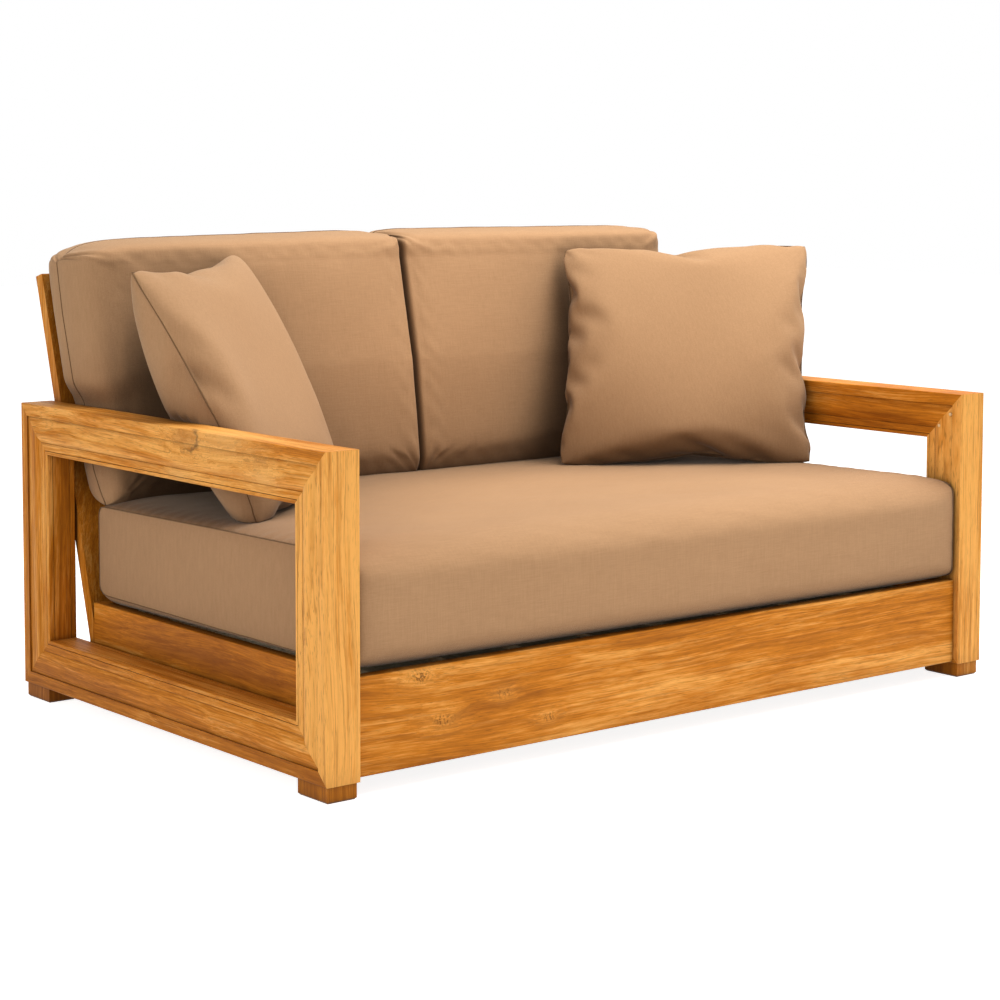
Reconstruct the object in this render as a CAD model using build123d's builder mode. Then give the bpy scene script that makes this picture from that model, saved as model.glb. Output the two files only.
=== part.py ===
# Patio loveseat: two moulded picture-frame arms, a slatted seat box, a raked back
# frame, one seat cushion, two back cushions and two throw pillows.
# X runs across the seat, +Y from front to back, +Z up, origin on the floor
# under the middle of the whole piece. Lengths are in millimetres.
from build123d import *
from math import cos, radians, sin, tan
import os

os.makedirs("parts", exist_ok=True)

# Arms
overall_width = 1536
arm_depth = 972
arm_height = 545
arm_thickness = 65
member_width = 89
foot_height = 27
foot_inset = 4.5
foot_chamfer = 3

# Moulding run round both faces of an arm, in shares of a member's width
moulding_flat_share = 0.25
moulding_crest_share = 0.55
moulding_ovolo_share = 0.58
moulding_quirk_share = 0.76
moulding_lip_share = 0.775
moulding_bead_share = 0.92
moulding_slope_drop = 2.8
moulding_lip_drop = 4.2
moulding_quirk_drop = 5.4
moulding_ovolo_rise = 1.3
moulding_line = 1.4
arm_edge_radius = 2
opening_edge_radius = 2.5
opening_line_inset = 15.5

# Mitre joints of the arms
tongue_size = 56
tongue_thickness = 12
peg_diameter = 6
peg_length = 44
peg_from_edge = (28, 54.8)
peg_below_mitre = (11.8, 8.6)

# Seat box
apron_setback = 13
board_thickness = 24
box_bottom = 30
box_top = 188
box_rear_inset = 146
board_edge_radius = 2
slat_count = 8
slat_gap = 30
slat_side_gap = 54
slat_thickness = 15
slat_top = 175
slat_end_gap = 1
slat_edge_radius = 1.5
cleat_width = 20
cleat_height = 32
bearer_height = 60
bearer_block_length = 70
bearer_block_height = 40
corner_block_leg = 52
corner_block_height = 78

# Back frame
back_tilt = 16
post_top = 772
post_thickness = 24
post_width = 65
heel_thickness = 16
heel_bottom = 45
heel_top = 118
back_rail_width = 70
lower_rail_height = 205
back_slat_count = 7
back_slat_side_gap = 98
back_slat_width = 60
back_slat_thickness = 14
tenon_depth = 12
post_edge_radius = 2

# Fasteners
bolt_diameter = 8
bolt_head_diameter = 17
bolt_head_height = 5
bolt_reach = 38
hex_key_size = 5
hex_key_depth = 3
washer_diameter = 20
washer_thickness = 1.6
insert_diameter = 12
insert_length = 28
insert_setback = 8
screw_diameter = 4.5
screw_head_diameter = 9
screw_head_height = 3
slat_screw_length = 34
cleat_screw_length = 36
foot_screw_length = 42
heel_screw_length = 34
back_bolt_reach = 40

# Places of the fasteners
front_bolt_back = 72
front_bolt_height = 150
first_rail_bolt_back = 275
last_rail_bolt_ahead = 101
rail_bolt_count = 3
slat_screw_inset = 25
cleat_screw_end_gap = 179
cleat_screw_rise = 6
cleat_screw_count = 5
foot_screw_spread_x = 28
foot_screw_spread_y = 44
heel_screw_heights = (68, 98)
back_bolt_rise_share = 0.63

# Cushions: cloth, clearances and the shares of each form along its width
cloth_thickness = 2
soft_clearance = 0.3
cushion_side_gap = 5
seat_span_shares = (-1, -0.96, -0.86, -0.55, 0, 0.55, 0.86, 0.96, 1)
seat_fill_shares = (0.12, 0.6, 0.88, 0.98, 1, 0.98, 0.88, 0.6, 0.12)
back_span_shares = (-1, -0.95, -0.84, -0.5, 0, 0.5, 0.84, 0.95, 1)
back_draw_shares = (1, 0.5, 0.17, 0.03, 0, 0.03, 0.17, 0.5, 1)
pillow_span_shares = (0, 0.05, 0.15, 0.3, 0.5, 0.7, 0.85, 0.95, 1)
pillow_fill_shares = (0.06, 0.38, 0.7, 0.92, 1, 0.92, 0.7, 0.38, 0.06)
pillow_waist_shares = (0, 0.35, 0.72, 0.95, 1, 0.95, 0.72, 0.35, 0)
back_contact_follow_share = 0.6
back_bottom_follow_share = 0.3

# Seat cushion, its places measured from the arms' front, the box's rear and the slats
seat_front = 5
seat_rear_gap = 8
seat_belly = 9
seat_seam_rise = 27
seat_side_height = 171
seat_crown = 16
seat_front_height = 147
seat_crest_back = 92
seat_crest_drop = 2
seat_bottom_front_round = 94
seat_bottom_rear_round = 58

# Back cushions, their places measured from the seat cushion's rear top seam
cushion_join_gap = 3
back_contact_rise = 0.8
back_toe_forward = 46
back_toe_rise = 34
back_bottom_back = 34
back_bottom_drop = 6
back_front_low_forward = 14
back_front_lean = 54
back_front_belly = 14
back_cushion_height = 471
back_shoulder = 46
back_rear_heel_rise = 44
back_rear_shoulder_drop = 74
back_crown = 8
back_end_draw = 52
back_end_top_drop = 28
back_end_rear_draw = 12

# Throw pillows, each turned into its corner and leaning back
pillow_width = 490
pillow_height = 462
pillow_thickness = 136
pillow_edge_thickness = 10
pillow_seam_thickness = 5
pillow_waist = 20
pillow_cloth = 1.5
pillow_hem_share = 0.94
pillow_base_rise = 12.8
pillow_lean = 24
pillow_turn = 35.5
pillow_corner_gap = 52
pillow_corner_ahead = 457

# Worked out
half_width = overall_width / 2
arm_inner = half_width - arm_thickness
arm_middle = half_width - arm_thickness / 2
rake = tan(radians(back_tilt))
box_depth = arm_depth - box_rear_inset
overall_depth = box_depth + heel_thickness + (post_top - heel_top) * rake
front = -overall_depth / 2
apron_front = front + apron_setback
apron_back = apron_front + board_thickness
box_rear = front + box_depth
box_inner = arm_inner - board_thickness
rear_apron_front = box_rear - board_thickness
slat_bottom = slat_top - slat_thickness
slat_length = rear_apron_front - apron_back - 2 * slat_end_gap
slat_width = (2 * (box_inner - slat_side_gap) - (slat_count - 1) * slat_gap) / slat_count
slat_xs = [(i - (slat_count - 1) / 2) * (slat_width + slat_gap) for i in range(slat_count)]
box_middle = (rear_apron_front + apron_back) / 2
member_length_upright = arm_height - foot_height
rear_face = box_rear + heel_thickness
post_run = post_thickness / cos(radians(back_tilt))
sides = (("left", -1), ("right", 1))


def finish(piece, label):
    """Name a finished piece and write it to its own file."""
    piece.label = label
    export_step(piece, f"parts/{label}.step")


def arm_face_outline():
    """Half of a moulded member's section: from the outer edge to the opening."""
    face = arm_thickness / 2
    flat_end = member_width * moulding_flat_share
    crest = member_width * moulding_crest_share
    ovolo = member_width * moulding_ovolo_share
    quirk = member_width * moulding_quirk_share
    lip = member_width * moulding_lip_share
    bead = member_width * moulding_bead_share
    lip_face = face - moulding_lip_drop
    line_at = face - opening_line_inset
    Line((0, 0), (0, face - arm_edge_radius))
    RadiusArc((0, face - arm_edge_radius), (arm_edge_radius, face), arm_edge_radius)
    Polyline((arm_edge_radius, face), (flat_end, face), (flat_end, face - moulding_slope_drop),
             (crest, face), (ovolo, face))
    SagittaArc((ovolo, face), (quirk, face - moulding_quirk_drop), moulding_ovolo_rise)
    Polyline((quirk, face - moulding_quirk_drop), (lip, lip_face), (bead - moulding_line / 2, lip_face),
             (bead, lip_face - moulding_line), (bead + moulding_line / 2, lip_face),
             (member_width - opening_edge_radius, lip_face))
    RadiusArc((member_width - opening_edge_radius, lip_face),
              (member_width, lip_face - opening_edge_radius), opening_edge_radius)
    Polyline((member_width, lip_face - opening_edge_radius), (member_width, line_at + moulding_line / 2),
             (member_width - moulding_line, line_at), (member_width, line_at - moulding_line / 2),
             (member_width, 0))


def arm_run(side, where):
    """Plane at a member's start: X towards the opening, Z along the member."""
    x = side * arm_middle
    runs = {
        "top_rail": ((x, front, arm_height), (0, 0, -1), (0, 1, 0), arm_depth),
        "bottom_rail": ((x, front, foot_height), (0, 0, 1), (0, 1, 0), arm_depth),
        "front_post": ((x, front, foot_height), (0, 1, 0), (0, 0, 1), member_length_upright),
        "rear_post": ((x, front + arm_depth, foot_height), (0, -1, 0), (0, 0, 1), member_length_upright),
    }
    origin, x_dir, z_dir, length = runs[where]
    return Plane(origin=origin, x_dir=x_dir, z_dir=z_dir), length


def corner_centres():
    """Y and Z of the middle of the four mitres of an arm."""
    half = member_width / 2
    backs = (front + half, front + arm_depth - half)
    heights = (foot_height + half, arm_height - half)
    return [(back, height) for back in backs for height in heights]


def peg_places():
    """Y and Z of the two pegs at each mitre, all of them in the posts."""
    places = []
    for edge, below in zip(peg_from_edge, peg_below_mitre):
        for back in (front + edge, front + arm_depth - edge):
            places.append((back, arm_height - edge - below))
            places.append((back, foot_height + edge + below))
    return places


def along_x(places, x):
    """Locations at one X whose own Z axis is the X axis."""
    plane = Plane.YZ.offset(x)
    return [plane.location * Location(place) for place in places]


def arm_bolt_places():
    """Y and Z of the bolts that hold an arm to the seat box."""
    rail_height = foot_height + member_width / 2
    first = front + first_rail_bolt_back
    step = (box_rear - last_rail_bolt_ahead - first) / (rail_bolt_count - 1)
    rail_places = [(first + i * step, rail_height) for i in range(rail_bolt_count)]
    return [(front + front_bolt_back, front_bolt_height)] + rail_places


def back_bolt_place():
    """Y and Z of the bolt from a back post into the arm's rear post, where the two cross."""
    rear_post_front = front + arm_depth - member_width
    crossing_low = heel_top + (rear_post_front + post_run / 2 - rear_face) / rake
    crossing_high = arm_height - member_width
    height = crossing_low + back_bolt_rise_share * (crossing_high - crossing_low)
    return rear_face + (height - heel_top) * rake - post_run / 2, height


def foot_screw_places():
    """X and Y of the screws of one arm's two feet, seen from the arm's middle."""
    half = member_width / 2
    backs = (front + half, front + arm_depth - half)
    across = foot_screw_spread_x / 2
    along = foot_screw_spread_y / 2
    return [(turn * across, back + turn * along) for back in backs for turn in (-1, 1)]


def socket_bolt(length):
    """A button-head bolt, its head above the local XY plane and its shank below."""
    Cylinder(bolt_head_diameter / 2, bolt_head_height, align=(Align.CENTER, Align.CENTER, Align.MIN))
    Cylinder(bolt_diameter / 2, length, align=(Align.CENTER, Align.CENTER, Align.MAX))


def socket_recess():
    """The hexagon socket in a bolt's head, cut from a local plane on the head."""
    RegularPolygon(hex_key_size / 2, 6, major_radius=False)


def wood_screw(length):
    """A countersunk screw, its head's top on the local XY plane, pointing down."""
    Cone(screw_diameter / 2, screw_head_diameter / 2, screw_head_height,
         align=(Align.CENTER, Align.CENTER, Align.MAX))
    Cylinder(screw_diameter / 2, length, align=(Align.CENTER, Align.CENTER, Align.MAX))


def screw_hole(length):
    """The hole that a countersunk screw fills."""
    Cone(screw_diameter / 2, screw_head_diameter / 2, screw_head_height,
         align=(Align.CENTER, Align.CENTER, Align.MAX), mode=Mode.SUBTRACT)
    Cylinder(screw_diameter / 2, length, align=(Align.CENTER, Align.CENTER, Align.MAX), mode=Mode.SUBTRACT)


def facing(side):
    """Rotation that turns a fastener's head towards the middle of the seat."""
    return Rotation(0, -90, 0) if side > 0 else Rotation(0, 90, 0)


# The four moulded members of each arm, with their mitres, slots and bores
def arm_member(side, where):
    run, length = arm_run(side, where)
    with BuildPart() as member:
        with BuildSketch(run):
            with BuildLine():
                arm_face_outline()
                mirror(about=Plane.XZ)
            make_face()
        extrude(amount=length)
        split(bisect_by=Plane(origin=run.origin, z_dir=run.z_dir - run.x_dir), keep=Keep.TOP)
        far_end = run.origin + run.z_dir * length
        split(bisect_by=Plane(origin=far_end, z_dir=-run.z_dir - run.x_dir), keep=Keep.TOP)
        with Locations(along_x(corner_centres(), side * arm_middle)):
            Box(tongue_size, tongue_size, tongue_thickness, mode=Mode.SUBTRACT)
        if where.endswith("post"):
            with Locations(along_x(peg_places(), side * (arm_inner + peg_length / 2))):
                Cylinder(peg_diameter / 2, peg_length, mode=Mode.SUBTRACT)
        if where in ("front_post", "bottom_rail"):
            face_x = side * arm_inner
            with Locations([Location((face_x, y, z)) * facing(side) for y, z in arm_bolt_places()]):
                Cylinder(bolt_diameter / 2, bolt_reach, mode=Mode.SUBTRACT,
                         align=(Align.CENTER, Align.CENTER, Align.MAX))
            inset = side * (arm_inner + insert_setback)
            with Locations([Location((inset, y, z)) * facing(side) for y, z in arm_bolt_places()]):
                Cylinder(insert_diameter / 2, insert_length, mode=Mode.SUBTRACT,
                         align=(Align.CENTER, Align.CENTER, Align.MAX))
        if where == "rear_post":
            y, z = back_bolt_place()
            with Locations(Location((side * arm_inner, y, z)) * facing(side)):
                Cylinder(bolt_diameter / 2, back_bolt_reach, mode=Mode.SUBTRACT,
                         align=(Align.CENTER, Align.CENTER, Align.MAX))
        if where == "bottom_rail":
            screws = [(side * arm_middle + x, y, 0) for x, y in foot_screw_places()]
            with Locations([Location(place) * Rotation(180, 0, 0) for place in screws]):
                screw_hole(foot_screw_length)
    return member


for side_name, side in sides:
    for where in ("top_rail", "bottom_rail", "front_post", "rear_post"):
        member = arm_member(side, where)
        finish(member.part, f"{side_name}_arm_{where}")

# The loose tongues inside the mitres, and the pegs that pin them
with BuildPart() as arm_mitre_tongues:
    for _, side in sides:
        with Locations(along_x(corner_centres(), side * arm_middle)):
            Box(tongue_size, tongue_size, tongue_thickness)
        with Locations(along_x(peg_places(), side * (arm_inner + peg_length / 2))):
            Cylinder(peg_diameter / 2, peg_length, mode=Mode.SUBTRACT)
finish(arm_mitre_tongues.part, "arm_mitre_tongues")

with BuildPart() as arm_mitre_pegs:
    for _, side in sides:
        with Locations(along_x(peg_places(), side * (arm_inner + peg_length / 2))):
            Cylinder(peg_diameter / 2, peg_length)
finish(arm_mitre_pegs.part, "arm_mitre_pegs")

# Feet under the corners of the arms
foot_width = arm_thickness - 2 * foot_inset
foot_length = member_width - 2 * foot_inset
foot_middles = (("front", front + member_width / 2), ("rear", front + arm_depth - member_width / 2))
for side_name, side in sides:
    for end_name, foot_middle in foot_middles:
        with BuildPart() as foot:
            with BuildSketch():
                with Locations((side * arm_middle, foot_middle)):
                    Rectangle(foot_width, foot_length)
            extrude(amount=foot_height)
            chamfer(foot.edges().group_by(Axis.Z)[0], foot_chamfer)
            screws = [(side * arm_middle + x, y, 0) for x, y in foot_screw_places()]
            with Locations([Location(place) * Rotation(180, 0, 0) for place in screws]):
                screw_hole(foot_screw_length)
        finish(foot.part, f"{end_name}_{side_name}_foot")

with BuildPart() as foot_screws:
    screws = [(side * arm_middle + x, y, 0) for _, side in sides for x, y in foot_screw_places()]
    with Locations([Location(place) * Rotation(180, 0, 0) for place in screws]):
        wood_screw(foot_screw_length)
finish(foot_screws.part, "foot_screws")

# Boards of the seat box
cleat_screw_pitch = 2 * (box_inner - cleat_screw_end_gap) / (cleat_screw_count - 1)
cleat_screw_xs = [(i - (cleat_screw_count - 1) / 2) * cleat_screw_pitch for i in range(cleat_screw_count)]
cleat_screw_height = slat_bottom - cleat_height + cleat_screw_rise
front_cleat_back = apron_back + cleat_width
rear_cleat_front = rear_apron_front - cleat_width
front_cleat_screws = [Location((x, front_cleat_back, cleat_screw_height)) * Rotation(-90, 0, 0)
                      for x in cleat_screw_xs]
rear_cleat_screws = [Location((x, rear_cleat_front, cleat_screw_height)) * Rotation(90, 0, 0)
                     for x in cleat_screw_xs]
slat_screw_backs = (apron_back + cleat_width / 2, rear_apron_front - cleat_width / 2)
slat_screw_reach = slat_width / 2 - slat_screw_inset
slat_screw_places = [(x + turn * slat_screw_reach, back, slat_top)
                     for x in slat_xs for turn in (-1, 1) for back in slat_screw_backs]
heel_middle = arm_inner - post_width / 2
heel_screw_x = box_inner - (post_width - board_thickness) / 2
heel_screws = [Location((side * heel_screw_x, rear_face, z)) * Rotation(-90, 0, 0)
               for _, side in sides for z in heel_screw_heights]

with BuildPart() as front_apron:
    with BuildSketch(Plane.XY.offset(box_bottom)):
        with Locations((0, apron_front + board_thickness / 2)):
            Rectangle(2 * arm_inner, board_thickness)
    extrude(amount=box_top - box_bottom)
    fillet(front_apron.edges().filter_by(Axis.X), board_edge_radius)
    with Locations(front_cleat_screws):
        screw_hole(cleat_screw_length)
finish(front_apron.part, "front_apron")

with BuildPart() as rear_apron:
    with BuildSketch(Plane.XY.offset(box_bottom)):
        with Locations((0, box_rear - board_thickness / 2)):
            Rectangle(2 * box_inner, board_thickness)
    extrude(amount=box_top - box_bottom)
    fillet(rear_apron.edges().filter_by(Axis.X), board_edge_radius)
    with Locations(rear_cleat_screws):
        screw_hole(cleat_screw_length)
    with Locations(heel_screws):
        screw_hole(heel_screw_length)
finish(rear_apron.part, "rear_apron")

for side_name, side in sides:
    with BuildPart() as side_rail:
        with BuildSketch(Plane.XY.offset(box_bottom)):
            with Locations((side * (arm_inner - board_thickness / 2), (apron_back + box_rear) / 2)):
                Rectangle(board_thickness, box_rear - apron_back)
        extrude(amount=box_top - box_bottom)
        fillet(side_rail.edges().filter_by(Axis.Y), board_edge_radius)
        with Locations([Location((side * arm_middle, y, z)) * facing(side) for y, z in arm_bolt_places()]):
            Cylinder(bolt_diameter / 2, arm_thickness + 2 * board_thickness, mode=Mode.SUBTRACT)
    finish(side_rail.part, f"{side_name}_side_rail")

# Cleats, bearer and blocks inside the box
with BuildPart() as front_slat_cleat:
    with BuildSketch(Plane.XY.offset(slat_bottom)):
        with Locations((0, apron_back + cleat_width / 2)):
            Rectangle(2 * box_inner, cleat_width)
    extrude(amount=-cleat_height)
    with Locations(front_cleat_screws):
        screw_hole(cleat_screw_length)
    with Locations(slat_screw_places):
        screw_hole(slat_screw_length)
finish(front_slat_cleat.part, "front_slat_cleat")

with BuildPart() as rear_slat_cleat:
    with BuildSketch(Plane.XY.offset(slat_bottom)):
        with Locations((0, rear_apron_front - cleat_width / 2)):
            Rectangle(2 * box_inner, cleat_width)
    extrude(amount=-cleat_height)
    with Locations(rear_cleat_screws):
        screw_hole(cleat_screw_length)
    with Locations(slat_screw_places):
        screw_hole(slat_screw_length)
finish(rear_slat_cleat.part, "rear_slat_cleat")

with BuildPart() as centre_bearer:
    with BuildSketch(Plane.XY.offset(slat_bottom)):
        with Locations((0, box_middle)):
            Rectangle(2 * box_inner, board_thickness)
    extrude(amount=-bearer_height)
    fillet(centre_bearer.edges().filter_by(Axis.X).group_by(Axis.Z)[0], board_edge_radius)
finish(centre_bearer.part, "centre_bearer")

with BuildPart() as bearer_blocks:
    with BuildSketch(Plane.XY.offset(slat_bottom - bearer_height)):
        with Locations([(side * (box_inner - board_thickness / 2), box_middle) for _, side in sides]):
            Rectangle(board_thickness, bearer_block_length)
    extrude(amount=-bearer_block_height)
finish(bearer_blocks.part, "bearer_blocks")

with BuildPart() as corner_blocks:
    with BuildSketch(Plane.XY.offset(slat_bottom - cleat_height)):
        for corner_y, inward in ((apron_back, 1), (rear_apron_front, -1)):
            for _, side in sides:
                corner_x = side * box_inner
                with BuildLine():
                    Polyline((corner_x, corner_y), (corner_x - side * corner_block_leg, corner_y),
                             (corner_x, corner_y + inward * corner_block_leg), close=True)
                make_face()
    extrude(amount=-corner_block_height)
finish(corner_blocks.part, "corner_blocks")

# Seat slats and their screws
for number, slat_x in enumerate(slat_xs, start=1):
    with BuildPart() as seat_slat:
        with BuildSketch(Plane.XY.offset(slat_bottom)):
            with Locations((slat_x, box_middle)):
                Rectangle(slat_width, slat_length)
        extrude(amount=slat_thickness)
        fillet(seat_slat.edges().filter_by(Axis.Y).group_by(Axis.Z)[-1], slat_edge_radius)
        with Locations(slat_screw_places):
            screw_hole(slat_screw_length)
    finish(seat_slat.part, f"seat_slat_{number}")

with BuildPart() as slat_screws:
    with Locations(slat_screw_places):
        wood_screw(slat_screw_length)
finish(slat_screws.part, "slat_screws")

with BuildPart() as cleat_screws:
    with Locations(front_cleat_screws + rear_cleat_screws):
        wood_screw(cleat_screw_length)
finish(cleat_screws.part, "cleat_screws")


# Back frame: raked posts, two rails and upright slats
def rear_line(height):
    """Y of the raked rear face of the back frame at a height."""
    return rear_face + (height - heel_top) * rake


heel_front_top = heel_top + (post_run - heel_thickness) / rake
top_corner = (rear_line(post_top), post_top)
top_front_corner = (top_corner[0] - post_thickness * cos(radians(back_tilt)),
                    post_top + post_thickness * sin(radians(back_tilt)))
rake_plane = Plane(origin=(0, rear_face, heel_top), x_dir=(1, 0, 0),
                   z_dir=(0, cos(radians(back_tilt)), -sin(radians(back_tilt))))
rake_length = (post_top - heel_top) / cos(radians(back_tilt))
rail_span = 2 * (arm_inner - post_width)
lower_rail_middle = (lower_rail_height - heel_top) / cos(radians(back_tilt)) + back_rail_width / 2
upper_rail_middle = rake_length - back_rail_width / 2
back_slat_middle = (lower_rail_middle + upper_rail_middle) / 2
back_slat_length = upper_rail_middle - lower_rail_middle - back_rail_width + 2 * tenon_depth
back_slat_pitch = (rail_span - 2 * back_slat_side_gap - back_slat_width) / (back_slat_count - 1)
back_slat_xs = [(i - (back_slat_count - 1) / 2) * back_slat_pitch for i in range(back_slat_count)]
slat_plane = rake_plane.offset(-(post_thickness - back_slat_thickness) / 2)

for side_name, side in sides:
    with BuildPart() as back_post:
        with BuildSketch(Plane.YZ.offset(side * heel_middle)):
            with BuildLine():
                Polyline((box_rear, heel_bottom), (rear_face, heel_bottom), (rear_face, heel_top),
                         top_corner, top_front_corner, (box_rear, heel_front_top), close=True)
            make_face()
        extrude(amount=post_width / 2, both=True)
        fillet(back_post.edges().group_by(Axis.Z)[-1], post_edge_radius)
        with Locations(heel_screws):
            screw_hole(heel_screw_length)
        y, z = back_bolt_place()
        with Locations(Location((side * arm_middle, y, z)) * facing(side)):
            Cylinder(bolt_diameter / 2, 2 * (arm_thickness + post_width), mode=Mode.SUBTRACT)
    finish(back_post.part, f"{side_name}_back_post")

back_rail_middles = (("back_top_rail", upper_rail_middle), ("back_bottom_rail", lower_rail_middle))
for rail_name, rail_middle in back_rail_middles:
    with BuildPart() as back_rail:
        with BuildSketch(rake_plane):
            with Locations((0, -rail_middle)):
                Rectangle(rail_span, back_rail_width)
        extrude(amount=-post_thickness)
        fillet(back_rail.edges().filter_by(Axis.X), post_edge_radius)
        with BuildSketch(slat_plane):
            with Locations([(x, -back_slat_middle) for x in back_slat_xs]):
                Rectangle(back_slat_width, back_slat_length)
        extrude(amount=-back_slat_thickness, mode=Mode.SUBTRACT)
    finish(back_rail.part, rail_name)

for number, slat_x in enumerate(back_slat_xs, start=1):
    with BuildPart() as back_slat:
        with BuildSketch(slat_plane):
            with Locations((slat_x, -back_slat_middle)):
                Rectangle(back_slat_width, back_slat_length)
        extrude(amount=-back_slat_thickness)
    finish(back_slat.part, f"back_slat_{number}")

# Bolts, washers and threaded inserts
with BuildPart() as arm_bolts:
    for _, side in sides:
        seat_x = side * (box_inner - washer_thickness)
        with Locations([Location((seat_x, y, z)) * facing(side) for y, z in arm_bolt_places()]):
            socket_bolt(washer_thickness + board_thickness + bolt_reach)
        head_x = seat_x - side * bolt_head_height
        with BuildSketch(*[Plane(Location((head_x, y, z)) * facing(side)) for y, z in arm_bolt_places()]):
            socket_recess()
        extrude(amount=-hex_key_depth, mode=Mode.SUBTRACT)
finish(arm_bolts.part, "arm_bolts")

with BuildPart() as arm_bolt_washers:
    for _, side in sides:
        with Locations([Location((side * box_inner, y, z)) * facing(side) for y, z in arm_bolt_places()]):
            Cylinder(washer_diameter / 2, washer_thickness, align=(Align.CENTER, Align.CENTER, Align.MIN))
            Cylinder(bolt_diameter / 2, washer_thickness, mode=Mode.SUBTRACT,
                     align=(Align.CENTER, Align.CENTER, Align.MIN))
finish(arm_bolt_washers.part, "arm_bolt_washers")

with BuildPart() as arm_bolt_inserts:
    for _, side in sides:
        inset = side * (arm_inner + insert_setback)
        with Locations([Location((inset, y, z)) * facing(side) for y, z in arm_bolt_places()]):
            Cylinder(insert_diameter / 2, insert_length, align=(Align.CENTER, Align.CENTER, Align.MAX))
            Cylinder(bolt_diameter / 2, insert_length, mode=Mode.SUBTRACT,
                     align=(Align.CENTER, Align.CENTER, Align.MAX))
finish(arm_bolt_inserts.part, "arm_bolt_inserts")

with BuildPart() as back_post_bolts:
    y, z = back_bolt_place()
    for _, side in sides:
        seat_x = side * (arm_inner - post_width)
        with Locations(Location((seat_x, y, z)) * facing(side)):
            socket_bolt(post_width + back_bolt_reach)
        with BuildSketch(Plane(Location((seat_x - side * bolt_head_height, y, z)) * facing(side))):
            socket_recess()
        extrude(amount=-hex_key_depth, mode=Mode.SUBTRACT)
finish(back_post_bolts.part, "back_post_bolts")

with BuildPart() as back_post_screws:
    with Locations(heel_screws):
        wood_screw(heel_screw_length)
finish(back_post_screws.part, "back_post_screws")


# Seat cushion: a crowned pad that fills the box, with its seams at the sides
seat_bottom = slat_top + soft_clearance
seat_low_seam = seat_bottom + seat_seam_rise
seat_high_seam = seat_low_seam + seat_side_height
seat_half = arm_inner - cushion_side_gap
seat_rear_seam = box_rear - seat_rear_gap - seat_belly


def seat_slices(inset):
    """Planes and fullness of the seat cushion's slices, from side to side."""
    reach = seat_half - inset
    return [(Plane.YZ.offset(span * reach), fill) for span, fill in zip(seat_span_shares, seat_fill_shares)]


def seat_outline(fill, inset):
    """One upright slice of the seat cushion: belly, rolled front, crown and seams."""
    seam_front = front + seat_front + seat_belly + inset
    seam_rear = seat_rear_seam - inset
    bottom = seat_low_seam - seat_seam_rise * fill + inset
    low = seat_low_seam + inset
    high = seat_high_seam - inset
    top = seat_high_seam + seat_crown * fill - inset
    middle = (low + high) / 2
    front_high = (seam_front, seat_low_seam + seat_front_height - inset)
    bottom_front = (seam_front + seat_bottom_front_round, bottom)
    bottom_rear = (seam_rear - seat_bottom_rear_round, bottom)
    crest = (seam_front + seat_crest_back, top - seat_crest_drop * fill)
    TangentArc(bottom_front, (seam_front, low), tangent=(-1, 0))
    ThreePointArc((seam_front, low), (seam_front - seat_belly * fill, middle), front_high)
    TangentArc(crest, front_high, tangent=(-1, 0))
    ThreePointArc(crest, ((crest[0] + seam_rear) / 2, top), (seam_rear, high))
    ThreePointArc((seam_rear, high), (seam_rear + seat_belly * fill, middle), (seam_rear, low))
    TangentArc(bottom_rear, (seam_rear, low), tangent=(1, 0))
    Line(bottom_rear, bottom_front)


with BuildPart() as seat_cushion_cover:
    for inset, mode in ((0, Mode.ADD), (cloth_thickness, Mode.SUBTRACT)):
        for plane, fill in seat_slices(inset):
            with BuildSketch(plane):
                with BuildLine():
                    seat_outline(fill, inset)
                make_face()
        loft(ruled=True, mode=mode)
finish(seat_cushion_cover.part, "seat_cushion_cover")

with BuildPart() as seat_cushion_core:
    inset = cloth_thickness + soft_clearance
    for plane, fill in seat_slices(inset):
        with BuildSketch(plane):
            with BuildLine():
                seat_outline(fill, inset)
            make_face()
    loft(ruled=True)
finish(seat_cushion_core.part, "seat_cushion_core")

# Back cushions: crowned pads with drawn-in ends, leaning on the raked frame
back_half = (seat_half - cushion_join_gap / 2) / 2


def rake_front(height):
    """Y of the raked front face of the back frame at a height."""
    return rear_line(height) - post_run


def back_slices(side, inset):
    """Planes and draw of one back cushion's slices, from end to end."""
    middle_x = side * (cushion_join_gap / 2 + back_half)
    reach = back_half - inset
    shares = zip(back_span_shares, back_draw_shares)
    return [(Plane.YZ.offset(middle_x + span * reach), draw) for span, draw in shares]


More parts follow.
